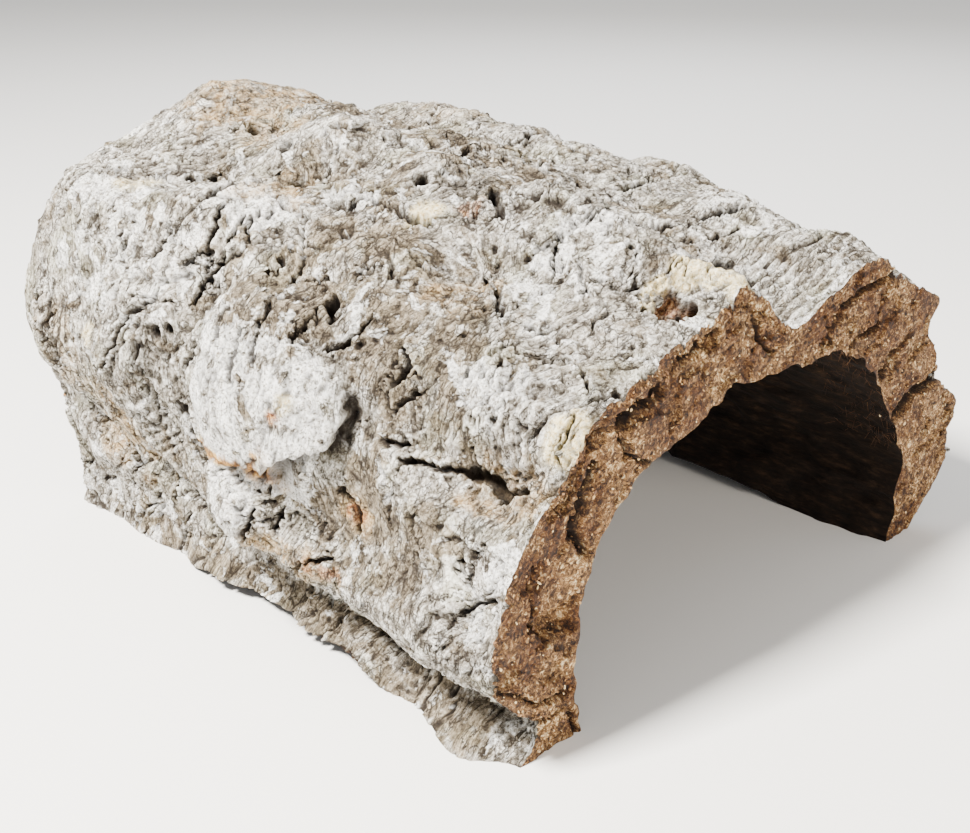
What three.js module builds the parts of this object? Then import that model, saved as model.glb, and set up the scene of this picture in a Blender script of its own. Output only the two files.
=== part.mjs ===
// A cave made of one half-tube of virgin cork bark, standing on its two long edges.
// Millimetres, +Z up. X runs across the arch and Y along it, from the front cut to the rear cut.
// The origin is on the ground under the middle of the piece.

import * as THREE from 'three';
import { mergeVertices } from 'three/addons/utils/BufferGeometryUtils.js';

const length = 200;
const arcPerDegree = 1.85; // outer surface passed for each degree round the arch
const columns = 56; // facets round the arch
const rows = 40; // facets along the length
const layers = 3; // facets through the wall

const barkColour = 0xa8a29a;
const barkRoughness = 0.95;

// The section at each cut: degrees round the arch from the left foot, then X and Z
const frontOuter = [
  [0, -94, 0], [5, -86, 8], [11, -100, 18], [16, -104, 29], [22, -101, 41], [30, -95, 55],
  [39, -84, 67], [46, -74, 77], [57, -56, 87], [71, -32, 94], [79, -19, 99], [86, -8, 94],
  [93, 4, 83], [99, 13, 85], [111, 37, 94], [119, 51, 92], [125, 58, 85], [132, 71, 81],
  [138, 84, 74], [142, 74, 67], [147, 86, 57], [151, 85, 49], [160, 103, 37], [165, 96, 26],
  [170, 98, 17], [175, 88, 8], [180, 80, 0],
];
const frontInner = [
  [0, -73, 0], [9, -75, 12], [17, -76, 22], [27, -73, 37], [39, -66, 54], [50, -53, 63],
  [62, -37, 69], [80, -13, 75], [98, 10, 73], [113, 30, 71], [127, 46, 62], [143, 60, 45],
  [160, 70, 26], [172, 70, 10], [180, 66, 0],
];
const rearOuter = [
  [0, -93, 0], [6, -89, 12], [14, -93, 27], [25, -98, 46], [32, -105, 64], [39, -103, 82],
  [44, -97, 94], [51, -88, 107], [58, -73, 112], [65, -57, 118], [73, -38, 124], [86, -10, 123],
  [94, 8, 113], [103, 26, 109], [110, 41, 111], [121, 63, 105], [133, 83, 88], [145, 96, 66],
  [157, 101, 42], [168, 96, 20], [180, 89, 0],
];
const rearInner = [
  [0, -72, 0], [18, -75, 25], [37, -79, 60], [50, -67, 82], [62, -48, 94], [79, -20, 101],
  [96, 10, 95], [114, 40, 88], [130, 61, 73], [147, 76, 48], [162, 78, 24], [180, 69, 0],
];
const riseSharpness = 2.2; // the crown climbs soon behind the front cut, then levels off

// Knobs, bulges, hollows and pits: centre as degrees round and mm behind the front cut,
// half sizes round and along, turn in degrees, height out of the surface, steepness of the side
const relief = [
  { name: 'speckled knob', at: [35, 86], half: [17, 24], turn: -14, height: 11, steep: 5 },
  { name: 'brow of the knob', at: [44, 92], half: [9, 13], turn: 0, height: 4, steep: 2 },
  { name: 'dark gap beside the knob', at: [33, 56], half: [10, 6], turn: 15, height: -5, steep: 3 },
  { name: 'nose below the knob', at: [17, 94], half: [15, 13], turn: 0, height: 8, steep: 2 },
  { name: 'rippled hollow', at: [25, 130], half: [15, 19], turn: 8, height: -6, steep: 3 },
  { name: 'upper ripple swell', at: [38, 138], half: [9, 22], turn: 0, height: 4, steep: 2 },
  { name: 'flank hollow', at: [21, 66], half: [12, 16], turn: 0, height: -4, steep: 3 },
  { name: 'rust scar', at: [26, 51], half: [5, 6], turn: 0, height: -4, steep: 3 },
  { name: 'lower front swell', at: [16, 30], half: [13, 24], turn: 0, height: 4, steep: 2 },
  { name: 'low front pit', at: [21, 9], half: [6, 6], turn: 0, height: -5, steep: 3 },
  { name: 'front pocket', at: [37, 13], half: [7, 14], turn: 6, height: -8, steep: 4 },
  { name: 'lip over the pocket', at: [44, 20], half: [5, 20], turn: 6, height: 3, steep: 2 },
  { name: 'fan centre', at: [58, 54], half: [5, 8], turn: 0, height: -5, steep: 3 },
  { name: 'left shoulder swell', at: [50, 38], half: [14, 16], turn: 0, height: 4, steep: 2 },
  { name: 'rim eyelet', at: [72, 12], half: [5, 5], turn: 0, height: -8, steep: 3 },
  { name: 'lip of the eyelet', at: [77, 14], half: [4, 8], turn: 0, height: 2, steep: 3 },
  { name: 'left crown', at: [74, 42], half: [14, 20], turn: -10, height: 5, steep: 2 },
  { name: 'front valley', at: [92, 4], half: [10, 18], turn: 0, height: -3, steep: 2 },
  { name: 'flap hole', at: [100, 29], half: [5, 5], turn: 0, height: -5, steep: 3 },
  { name: 'middle valley', at: [90, 33], half: [9, 20], turn: -6, height: -7, steep: 2 },
  { name: 'right crown', at: [114, 46], half: [13, 10], turn: 0, height: 1, steep: 2 },
  { name: 'dip behind the right crown', at: [110, 67], half: [16, 13], turn: 0, height: -6, steep: 2 },
  { name: 'saddle lump', at: [95, 58], half: [11, 13], turn: 0, height: 4, steep: 2 },
  { name: 'tan notch', at: [75, 76], half: [5, 7], turn: 20, height: -8, steep: 3 },
  { name: 'lump behind the notch', at: [72, 94], half: [9, 11], turn: 0, height: 5, steep: 3 },
  { name: 'long ridge lump', at: [94, 104], half: [13, 20], turn: 15, height: 4, steep: 2 },
  { name: 'left twin hole', at: [63, 134], half: [5, 5], turn: 0, height: -6, steep: 3 },
  { name: 'right twin hole', at: [64, 120], half: [6, 6], turn: 0, height: -9, steep: 3 },
  { name: 'brow over the twin holes', at: [73, 127], half: [6, 15], turn: 0, height: 4, steep: 2 },
  { name: 'flap hollow', at: [58, 151], half: [7, 9], turn: -20, height: -5, steep: 3 },
  { name: 'white shoulder plate', at: [52, 135], half: [9, 16], turn: 0, height: 4, steep: 4 },
  { name: 'rear tan lump', at: [75, 185], half: [11, 20], turn: 0, height: 3, steep: 3 },
  { name: 'knot pit of the tan lump', at: [71, 158], half: [6, 9], turn: 0, height: -6, steep: 3 },
  { name: 'rear shoulder', at: [49, 178], half: [12, 18], turn: 0, height: 5, steep: 2 },
  { name: 'rear flank dip', at: [37, 170], half: [8, 14], turn: 0, height: -4, steep: 2 },
  { name: 'rear flank swell', at: [28, 182], half: [11, 16], turn: 0, height: 4, steep: 2 },
  { name: 'right ridge lump', at: [112, 122], half: [12, 22], turn: 0, height: 2, steep: 2 },
  { name: 'right rear lump', at: [110, 176], half: [11, 13], turn: 0, height: 5, steep: 2 },
  { name: 'right shoulder knot', at: [128, 92], half: [11, 12], turn: 0, height: 7, steep: 3 },
  { name: 'right knot pit', at: [129, 93], half: [4, 5], turn: 0, height: -9, steep: 3 },
  { name: 'right shoulder dip', at: [132, 136], half: [12, 20], turn: 20, height: -6, steep: 2 },
  { name: 'right flank swell', at: [152, 62], half: [16, 26], turn: -10, height: 6, steep: 2 },
  { name: 'right flank hollow', at: [158, 112], half: [11, 16], turn: 0, height: -6, steep: 3 },
  { name: 'right rear swell', at: [148, 164], half: [14, 20], turn: 0, height: 6, steep: 2 },
];

// Long creases: places as degrees round and mm behind the front cut, half width, depth
const creases = [
  { name: 'foot crease', half: 5, depth: 11,
    path: [[5, -10], [6, 20], [7, 45], [8, 78], [11, 98], [10, 122], [14, 150], [20, 185], [24, 215]] },
  { name: 'crown valley', half: 7, depth: 5, path: [[93, -10], [88, 18], [89, 50], [82, 72], [84, 96]] },
  { name: 'slit below the crown', half: 3, depth: 5, path: [[57, 112], [49, 97], [48, 82]] },
  { name: 'shoulder crease', half: 4, depth: 4, path: [[62, 148], [55, 158], [52, 176], [56, 205]] },
  { name: 'flank crease', half: 4, depth: 4, path: [[46, 116], [39, 122], [33, 124], [27, 118]] },
  { name: 'fan crease', half: 4, depth: 4, path: [[58, 44], [56, 26], [51, 14]] },
  { name: 'right crown crease', half: 5, depth: 5, path: [[122, -10], [124, 30], [119, 62], [122, 110]] },
  { name: 'right flank crease', half: 5, depth: 6, path: [[140, -10], [141, 34], [143, 84], [138, 122], [141, 210]] },
  { name: 'right foot crease', half: 5, depth: 6, path: [[166, -10], [168, 50], [171, 96], [167, 150], [170, 210]] },
  { name: 'ridge cross crease', half: 4, depth: 4, path: [[100, 84], [106, 88], [118, 86]] },
  { name: 'rear cross crease', half: 4, depth: 4, path: [[92, 150], [104, 156], [120, 148]] },
];

// Lumps all over the bark and inside: spacing and height of each size
const barkLumps = [{ spacing: 26, height: 3 }, { spacing: 13, height: 2 }, { spacing: 8, height: 1 }];
const innerLumps = [{ spacing: 40, height: 2 }, { spacing: 15, height: 1 }];
const innerStretch = 3; // the inside runs in long streaks

// The two feet touch the ground in two flat stretches each and arch clear of it elsewhere
const footReach = 9; // degrees over which a raised foot edge settles back
const leftFlats = [[-4, 44], [138, 204]];
const rightFlats = [[-4, 36], [122, 204]];
const footRise = 4;
const footFade = 16; // mm from the end of a flat to the full rise
const frontFootLobe = { at: [0, 17], half: [9, 13], turn: 0, height: 8, steep: 4 };

// The sections above already hold the relief at each cut, so the rest fades out towards them
const frontFade = 12;
const rearFade = 10;

const { lerp, smoothstep, clamp } = THREE.MathUtils;

function section(points) {
  const curve = new THREE.SplineCurve(points.map(([, x, z]) => new THREE.Vector2(x, z)));
  const last = points.length - 1;
  return (degrees) => {
    let i = 0;
    while (i < last - 1 && points[i + 1][0] < degrees) i += 1;
    const part = (degrees - points[i][0]) / (points[i + 1][0] - points[i][0]);
    return curve.getPoint((i + part) / last);
  };
}

const sections = {
  outer: [section(frontOuter), section(rearOuter)],
  inner: [section(frontInner), section(rearInner)],
};

function tubePoint([front, rear], degrees, along) {
  const a = front(degrees);
  const b = rear(degrees);
  const share = along / length;
  const rise = 1 - (1 - share) ** riseSharpness;
  return new THREE.Vector3(lerp(a.x, b.x, share), along - length / 2, lerp(a.y, b.y, rise));
}

function chance(i, j, k) {
  const wave = Math.sin(i * 127.1 + j * 311.7 + k * 74.7) * 43758.5453;
  return wave - Math.floor(wave);
}

// Smooth random heights from -1 to 1 over a unit grid
function noise(x, y, seed) {
  const i = Math.floor(x);
  const j = Math.floor(y);
  const s = smoothstep(x - i, 0, 1);
  const t = smoothstep(y - j, 0, 1);
  const low = lerp(chance(i, j, seed), chance(i + 1, j, seed), s);
  const high = lerp(chance(i, j + 1, seed), chance(i + 1, j + 1, seed), s);
  return 2 * lerp(low, high, t) - 1;
}

function lumpHeight(lumps, round, along, seed) {
  return lumps.reduce(
    (sum, lump, n) => sum + lump.height * noise(round / lump.spacing, along / lump.spacing, seed + n),
    0,
  );
}

function featureHeight({ at, half, turn, height, steep }, degrees, along) {
  const angle = THREE.MathUtils.degToRad(turn);
  const dRound = (degrees - at[0]) * arcPerDegree;
  const dAlong = along - at[1];
  const round = dRound * Math.cos(angle) + dAlong * Math.sin(angle);
  const onward = dAlong * Math.cos(angle) - dRound * Math.sin(angle);
  const distance = Math.hypot(round / half[0], onward / half[1]);
  return height * Math.exp(-(distance ** steep));
}

function distanceToPath(path, degrees, along) {
  const place = new THREE.Vector3(degrees * arcPerDegree, along, 0);
  const nearest = new THREE.Vector3();
  let least = Infinity;
  for (let i = 1; i < path.length; i += 1) {
    const start = new THREE.Vector3(path[i - 1][0] * arcPerDegree, path[i - 1][1], 0);
    const end = new THREE.Vector3(path[i][0] * arcPerDegree, path[i][1], 0);
    new THREE.Line3(start, end).closestPointToPoint(place, true, nearest);
    least = Math.min(least, nearest.distanceTo(place));
  }
  return least;
}

function creaseHeight({ half, depth, path }, degrees, along) {
  return -depth * Math.exp(-((distanceToPath(path, degrees, along) / half) ** 2));
}

function barkHeight(degrees, along) {
  const lumps = lumpHeight(barkLumps, degrees * arcPerDegree, along, 1);
  const knobs = relief.reduce((sum, form) => sum + featureHeight(form, degrees, along), 0);
  const valleys = creases.reduce((sum, form) => sum + creaseHeight(form, degrees, along), 0);
  const fade = smoothstep(along, 0, frontFade) * smoothstep(length - along, 0, rearFade);
  return fade * (lumps + knobs + valleys + featureHeight(frontFootLobe, degrees, along));
}

function innerHeight(degrees, along) {
  const fade = smoothstep(along, 0, frontFade) * smoothstep(length - along, 0, rearFade);
  return fade * lumpHeight(innerLumps, degrees * arcPerDegree, along / innerStretch, 20);
}

// How far a foot's edge stands off the ground: nothing on its flats
function footLift(flats, along) {
  const gaps = flats.map(([start, end]) => Math.max(start - along, along - end, 0));
  return footRise * smoothstep(Math.min(...gaps), 0, footFade);
}

function edgeLift(degrees, along) {
  const left = footLift(leftFlats, along) * clamp(1 - degrees / footReach, 0, 1);
  const right = footLift(rightFlats, along) * clamp(1 - (180 - degrees) / footReach, 0, 1);
  return left + right;
}

// A point of the wall: degrees round the arch, mm behind the front cut, 0 inside to 1 outside
function barkPoint(degrees, along, outward) {
  const angle = THREE.MathUtils.degToRad(degrees);
  const away = new THREE.Vector3(-Math.cos(angle), 0, Math.sin(angle));
  const outer = tubePoint(sections.outer, degrees, along);
  const inner = tubePoint(sections.inner, degrees, along);
  outer.addScaledVector(away, barkHeight(degrees, along));
  inner.addScaledVector(away, innerHeight(degrees, along));
  const point = inner.lerp(outer, outward);
  point.z += edgeLift(degrees, along);
  return point;
}

// Each vertex of a unit block is carried to its place in the wall of the arch
function barkGeometry() {
  const block = new THREE.BoxGeometry(1, 1, 1, columns, rows, layers);
  block.deleteAttribute('normal');
  block.deleteAttribute('uv');
  const geometry = mergeVertices(block);
  const place = geometry.attributes.position;
  for (let i = 0; i < place.count; i += 1) {
    const degrees = (place.getX(i) + 0.5) * 180;
    const along = (place.getY(i) + 0.5) * length;
    const point = barkPoint(degrees, along, place.getZ(i) + 0.5);
    place.setXYZ(i, point.x, point.y, point.z);
  }
  geometry.computeBoundingBox();
  const middle = geometry.boundingBox.getCenter(new THREE.Vector3());
  geometry.translate(-middle.x, -middle.y, -geometry.boundingBox.min.z);
  geometry.computeVertexNormals();
  return geometry;
}

const material = new THREE.MeshStandardMaterial({
  color: barkColour,
  roughness: barkRoughness,
  metalness: 0,
});

const bark = new THREE.Mesh(barkGeometry(), material);
bark.name = 'cork_bark';

const group = new THREE.Group();
group.add(bark);

export default group;
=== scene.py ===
import math
import random

import bmesh
import bpy
import numpy as np
from mathutils import Matrix, Vector


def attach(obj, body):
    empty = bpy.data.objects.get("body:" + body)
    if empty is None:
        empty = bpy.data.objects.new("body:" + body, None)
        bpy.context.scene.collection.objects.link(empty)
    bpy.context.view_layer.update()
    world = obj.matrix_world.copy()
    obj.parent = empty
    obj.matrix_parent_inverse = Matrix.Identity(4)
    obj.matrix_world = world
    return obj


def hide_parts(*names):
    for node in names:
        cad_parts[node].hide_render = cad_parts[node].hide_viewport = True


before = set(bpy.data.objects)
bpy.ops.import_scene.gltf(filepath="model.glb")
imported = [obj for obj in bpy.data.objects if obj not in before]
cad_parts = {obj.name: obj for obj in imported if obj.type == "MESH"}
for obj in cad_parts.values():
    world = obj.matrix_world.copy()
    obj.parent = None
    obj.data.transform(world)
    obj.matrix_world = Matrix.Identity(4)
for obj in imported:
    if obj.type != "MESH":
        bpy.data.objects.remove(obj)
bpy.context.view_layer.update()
mm = 0.001
print("frame loaded", sorted(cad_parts))


def linearColour(hexText):
    parts = [int(hexText[i:i + 2], 16) / 255 for i in (1, 3, 5)]
    return tuple(p / 12.92 if p < 0.04045 else ((p + 0.055) / 1.055) ** 2.4 for p in parts) + (1.0,)


# Adds one shader node: plain values go on its sockets or settings, and links name (node, output)
def addNode(tree, kind, links=None, **values):
    node = tree.nodes.new(kind)
    for name, value in values.items():
        label = name.replace("_", " ").title()
        if hasattr(node, name):
            setattr(node, name, value)
        else:
            node.inputs[label].default_value = value
    for socket, (source, output) in (links or {}).items():
        tree.links.new(source.outputs[output], node.inputs[socket])
    return node


def placed(name, data):
    thing = bpy.data.objects.new(name, data)
    bpy.context.scene.collection.objects.link(thing)
    return thing


def smoothStep(x, low, high):
    t = np.clip((x - low) / (high - low), 0, 1)
    return t * t * (3 - 2 * t)


# Repeatable random number from 0 to 1 for whole-number places
def chance(i, j, k, seed):
    h = (i * 0x9E3779B1 + j * 0x85EBCA77 + k * 0xC2B2AE3D + seed * 0x27D4EB2F) & 0xFFFFFFFF
    h = ((h ^ (h >> 15)) * 0x2C1B3C6D) & 0xFFFFFFFF
    h = ((h ^ (h >> 12)) * 0x297A2D39) & 0xFFFFFFFF
    return (h ^ (h >> 15)) / 4294967296.0


def smoothNoise(points, size, seed):
    p = points / size
    base = np.floor(p).astype(np.int64)
    f = p - base
    f = f * f * (3 - 2 * f)
    total = np.zeros(len(p))
    for corner in range(8):
        step = [(corner >> axis) & 1 for axis in range(3)]
        weight = np.ones(len(p))
        for axis in range(3):
            weight *= f[:, axis] if step[axis] else 1 - f[:, axis]
        total += weight * chance(*(base[:, axis] + step[axis] for axis in range(3)), seed)
    return 2 * total - 1


def layeredNoise(points, size, layers, seed, gain=0.5):
    total = np.zeros(len(points))
    for n in range(layers):
        total += gain ** n * smoothNoise(points, size / 2 ** n, seed + n)
    return total


# Cells scattered over the surface: gap from a cell's edge in cell sizes, and the cell's own number
def scatterCells(u, v, seed):
    iu, iv = np.floor(u).astype(np.int64), np.floor(v).astype(np.int64)
    nearest, second = np.full(len(u), 9.0), np.full(len(u), 9.0)
    number = np.zeros(len(u))
    for du in (-1, 0, 1):
        for dv in (-1, 0, 1):
            ci, cj = iu + du, iv + dv
            away = np.hypot(ci + chance(ci, cj, 1, seed) - u, cj + chance(ci, cj, 2, seed) - v)
            closer = away < nearest
            second = np.where(closer, nearest, np.minimum(second, away))
            number = np.where(closer, chance(ci, cj, 3, seed), number)
            nearest = np.where(closer, away, nearest)
    return second - nearest, number


# The camera stands where the photo was taken from
cameraPlace = {"location": (-0.2876, -0.2863, 0.200), "tiltDown": 22.5, "turn": -44.5, "focalPixels": 1400,
               "frameWidth": 970}
sensorWidth = 36  # mm


def makeCamera():
    data = bpy.data.cameras.new("camera")
    data.sensor_width = sensorWidth
    data.lens = cameraPlace["focalPixels"] / cameraPlace["frameWidth"] * sensorWidth
    camera = placed("camera", data)
    camera.location = cameraPlace["location"]
    turn = (90 - cameraPlace["tiltDown"], 0, cameraPlace["turn"])
    camera.rotation_euler = [math.radians(a) for a in turn]
    bpy.context.scene.camera = camera


# Soft studio light: a wide key from the upper left, a fill from the right and a pale surround
studio = {
    "surround": ("#f4f5f7", 0.66),
    "lights": {
        "keyLight": {"place": (-0.60, 0.10, 0.85), "size": 0.22, "power": 60.0, "colour": "#fffaf2"},
        "frontLight": {"place": (-0.05, -1.00, 0.45), "size": 0.50, "power": 9.0, "colour": "#fff4e6"},
        "rimLight": {"place": (0.70, 0.50, 0.70), "size": 0.60, "power": 6.0, "colour": "#f3f7ff"},
    },
    "floor": "#eeedea",
    "floorSize": 12.0,
    "aim": (0, 0, 0.05),
}


def makeStudio():
    world = bpy.data.worlds.new("surround")
    world.use_nodes = True
    sky = world.node_tree.nodes["Background"]
    sky.inputs["Color"].default_value = linearColour(studio["surround"][0])
    sky.inputs["Strength"].default_value = studio["surround"][1]
    bpy.context.scene.world = world
    for name, light in studio["lights"].items():
        data = bpy.data.lights.new(name, "AREA")
        data.energy = light["power"]
        data.size = light["size"]
        data.color = linearColour(light["colour"])[:3]
        lamp = placed(name, data)
        lamp.location = light["place"]
        lamp.rotation_euler = (Vector(studio["aim"]) - lamp.location).to_track_quat("-Z", "Y").to_euler()
    shape = bmesh.new()
    bmesh.ops.create_grid(shape, x_segments=1, y_segments=1, size=studio["floorSize"] / 2)
    floor = newPiece("floor", shape, [plainFloor()])


def plainFloor():
    material = bpy.data.materials.new("paleStudioFloor")
    material.use_nodes = True
    shader = material.node_tree.nodes["Principled BSDF"]
    shader.inputs["Base Color"].default_value = linearColour(studio["floor"])
    shader.inputs["Roughness"].default_value = 0.8
    return material


def newPiece(name, shape, materials):
    mesh = bpy.data.meshes.new(name)
    shape.to_mesh(mesh)
    shape.free()
    for material in materials:
        mesh.materials.append(material)
    return placed(name, mesh)


# The bark's own places: degrees round the arch from the left foot, and mm behind the front cut
archMiddle = 1.03  # mm, X of the arch's middle line in the frame
halfLength = 100.0  # mm
perDegree = 1.85  # mm of bark for each degree round the arch

bark = {
    "subdivisions": 3,
    "keptShare": 0.70,  # of the faces, when the calm ones are merged
    "steep": {"depth": 0.02, "lip": 0.1, "holeReach": 2.0, "margin": 0.5},  # what gets finer faces
    "crackWidth": 0.7,  # how wide a crack is drawn, against its entry
    "crackReach": 6,  # mm round a crack's path within which it shows
    "calmCrown": (104, 14, 34, 30),  # given as the patches of colour are
    "strays": {"count": 110, "lengths": (5, 15),
               "halves": (0.45, 0.9), "depths": (1.2, 3.2), "seed": 15},
    "swell": [(14.0, 1.3, 11), (6.0, 0.45, 12), (2.8, 0.16, 13)],  # mm size, mm height, seed
    "terraces": {"across": 8.0, "long": 17.0, "steps": 2.6, "rise": 1.5, "seed": 21},
    "slabs": {"across": 11.0, "long": 21.0, "crack": 1.9, "crackWidth": 0.05, "step": 1.7, "seed": 27},
    "plates": {"across": 5.0, "long": 9.0, "crack": 0.95, "crackWidth": 0.07, "step": 0.55, "seed": 31},
    "scales": {"across": 2.1, "long": 4.2, "crack": 0.3, "crackWidth": 0.10, "step": 0.16, "seed": 41},
    "furrows": [(3.4, 0.62, 3.4, 51), (1.7, 0.26, 2.2, 52)],  # mm apart, mm deep, sharpness, seed
}

# Knots that the grain bends round: degrees round, mm behind the front cut, reach and pull in mm
grainKnots = [(34, 87, 20, 19), (58, 53, 13, 15), (63, 127, 10, 12), (72, 158, 15, 17), (95, 58, 14, 10),
              (72, 92, 9, 9), (22, 12, 8, 8), (128, 93, 14, 15), (150, 40, 16, 14), (46, 165, 13, -12),
              (140, 165, 16, 14), (108, 110, 12, -9)]

# Cracks of each part of the bark: half width and depth in mm, then the places that each passes
cracks = {
    "ridge": [(0.9, 3.5, [(60, 104), (60, 98), (63, 97), (64, 88), (63, 80), (63, 74)]),
        (1.7, 5.0, [(77, 78), (73, 68), (70, 61)]), (1.0, 3.0, [(76, 73), (73, 62), (74, 56), (76, 52)]),
        (0.8, 2.0, [(105, 125), (109, 127), (114, 124)]), (1.1, 2.5, [(80, 99), (86, 105)]),
        (0.7, 2.0, [(92, 98), (94, 93), (98, 99)])],
    "middle": [(0.9, 4.5, [(57, 105), (52, 95), (48, 91)]), (1.3, 5.5, [(49, 79), (47, 75)]),
        (0.9, 3.5, [(57.5, 120), (57, 114)]), (0.9, 3.0, [(51, 102), (46, 94)]),
        (0.7, 2.5, [(45, 88), (42, 86)]), (0.5, 1.8, [(47, 80), (44, 78)]),
        (0.7, 2.0, [(53, 77), (55, 75), (56, 71), (54, 69)]), (0.5, 1.4, [(59, 76), (57, 64), (58, 57)]),
        (0.9, 3.2, [(61, 52), (59, 46), (56, 35), (57, 30), (57, 26)])],
    "dark": [(1.3, 4.5, [(43, 101), (39, 112), (35, 120)]), (0.8, 3.0, [(43, 98), (39, 97)]),
        (0.8, 3.0, [(41, 90), (36, 87)]), (1.0, 3.0, [(41, 85), (38, 82)]),
        (0.8, 2.5, [(44, 78), (42, 77)]), (1.2, 3.5, [(47, 53), (45, 49), (42, 54)]),
        (1.0, 3.0, [(41, 53), (40, 48), (43, 45)])],
    "low": [(1.3, 3.0, [(36, 49), (37, 43)]), (0.9, 3.0, [(35, 42), (36, 31), (37, 24)]),
        (0.7, 2.5, [(23, 80), (19, 82)]), (0.8, 2.5, [(21, 86), (17, 88)]),
        (0.8, 2.5, [(15, 88), (14, 78), (18, 63)]), (2.0, 4.0, [(37, 24), (37.5, 20), (36, 15)]),
        (1.2, 3.0, [(36, 15), (38.5, 11), (37, 6)]), (1.3, 3.0, [(28, 60), (26.5, 57), (24, 56)]),
        (1.1, 3.0, [(21, 14), (23, 11), (24, 5)])],
    "rear": [(1.3, 4.5, [(53, 130), (56, 128), (58, 131)]),
        (0.8, 2.8, [(40, 134), (38, 140), (36, 145), (31, 154)]),
        (0.7, 2.8, [(53, 118), (49, 119), (45, 122), (42, 124)]),
        (0.7, 2.4, [(46, 130), (48, 124), (50, 124)]), (0.7, 2.4, [(49, 138), (46, 139), (44, 143)]),
        (0.7, 2.0, [(38, 185), (32, 184), (26, 187)]), (0.6, 2.0, [(29, 163), (22, 168)]),
        (2.2, 4.5, [(29, 128), (25, 124)])],
    "foot": [(0.9, 3.0, [(7, 160), (0, 164)]), (0.9, 3.0, [(9, 142), (0, 148)]),
        (0.7, 2.5, [(5, 179), (0, 179)]), (0.8, 2.5, [(6, 70), (0, 74)]), (0.8, 2.5, [(6, 36), (0, 33)])],
    "crown": [(0.9, 2.5, [(112, 111), (113, 106), (115, 102)]),
        (1.7, 4.5, [(101, 80), (107, 78), (114, 79)]), (0.9, 2.5, [(110, 82), (118, 86)]),
        (1.3, 3.5, [(94, 53), (98, 49), (103, 47)]), (1.3, 4.0, [(105, 48), (108, 45), (112, 41)]),
        (1.9, 5.0, [(99, 34), (102, 32), (101, 27), (100, 21)])],
    "front": [(0.6, 2.2, [(52, 30), (52, 23), (55, 18), (54, 12), (52, 6)]),
        (0.8, 3.0, [(75.5, 7), (76.6, 3), (77, 0)]), (0.7, 2.4, [(68, 13), (69.5, 17), (70, 21)]),
        (0.6, 2.2, [(48, 5.5), (46, 3.5), (43.5, 4.5), (41.5, 2)]),
        (0.8, 2.4, [(51, 4), (51.5, 2.5), (53.5, 2)]), (0.6, 1.6, [(70, 20), (73, 22)]),
        (0.6, 1.6, [(67, 28), (69, 24)])],
    "right": [(1.2, 4.0, [(124, 30), (130, 38), (134, 52)]),
        (1.0, 3.5, [(140, 88), (148, 94), (150, 108)]), (1.1, 3.5, [(120, 132), (126, 140), (124, 152)]),
        (0.9, 3.0, [(152, 30), (158, 44), (154, 58)]), (1.2, 4.0, [(135, 160), (143, 172), (140, 186)]),
        (0.9, 3.0, [(160, 140), (168, 146), (172, 160)]), (0.9, 3.0, [(165, 60), (172, 66), (180, 64)])],
}


# Short cracks scattered over the whole bark, mostly along its grain, clear of the knob
def strayCracks():
    strays = bark["strays"]
    draw = random.Random(strays["seed"])
    found = []
    for _ in range(strays["count"]):
        at, back = draw.uniform(6, 174), draw.uniform(4, 196)
        turn, length = draw.gauss(0, 0.5), draw.uniform(*strays["lengths"])
        path = [(at + share * length * math.cos(turn) / perDegree,
                 back + share * length * math.sin(turn) + draw.uniform(-1, 1)) for share in (-0.5, 0.0, 0.5)]
        half, deep = draw.uniform(*strays["halves"]), draw.uniform(*strays["depths"])
        if math.hypot((at - 33) / 11, (back - 92) / 34) > 1:  # the knob's middle and half sizes
            found.append((half, deep, path))
    return found


barkCracks = sum(cracks.values(), []) + strayCracks()

# Round holes: degrees round, mm behind the front cut, radius and depth in mm
holes = [
    (62.3, 124, 2.5, 7.0), (60.6, 130.5, 2.2, 6.0), (72, 157, 1.6, 4.5), (70, 143, 2.2, 5.5),
    (68, 141, 1.6, 4.0), (70, 162, 1.8, 4.5), (70, 89, 1.8, 4.5), (68, 113, 1.3, 3.0),
    (56, 194, 1.5, 4.5), (58, 161, 1.0, 2.5), (60, 157, 0.9, 2.5), (40, 173, 1.4, 4.5),
    (45, 156, 1.5, 4.5), (35, 191, 1.2, 3.5), (37, 132, 1.4, 4.0), (38, 128, 1.1, 3.0),
    (24, 158, 1.5, 3.5), (22, 154, 1.1, 2.5), (65, 27, 1.1, 2.5), (77, 34, 0.8, 2.0), (75, 27, 0.9, 2.0),
    (75, 32, 0.8, 2.0), (73.6, 10, 2.4, 8.0), (100.5, 33, 1.6, 6.0), (37, 8, 2.4, 3.0),
    (129, 93, 2.4, 5.0), (120, 60, 1.4, 4.0), (136, 118, 1.5, 4.0), (116, 150, 1.8, 4.5),
    (148, 76, 1.3, 3.5), (155, 170, 1.6, 4.0), (160, 96, 1.4, 3.5),
]

# Shallow bowls, given as the holes are: the eyelet's, and the one that holds the twin holes
bowls = [(72.6, 11.5, 6.2, 3.0), (61.0, 128, 4.2, 2.2), (62.8, 123, 4.0, 2.2)]

# Rounded rolls of bark: rise and half width in mm, and the path
rolls = {
    "eyeletTop": (2.0, 3.2, [(75.5, 18.5), (78, 14), (79.6, 9), (80.2, 4), (80, 0)]),
    "eyeletLeft": (1.2, 1.8, [(75, 18), (71.5, 17.5), (69, 15)]),
    "twinBrow": (1.3, 2.4, [(66.3, 118), (65.4, 125), (64, 133)]),
    "flapLip": (1.2, 2.4, [(97, 36), (98.5, 30), (97.5, 22), (97, 14)]),
}

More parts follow.
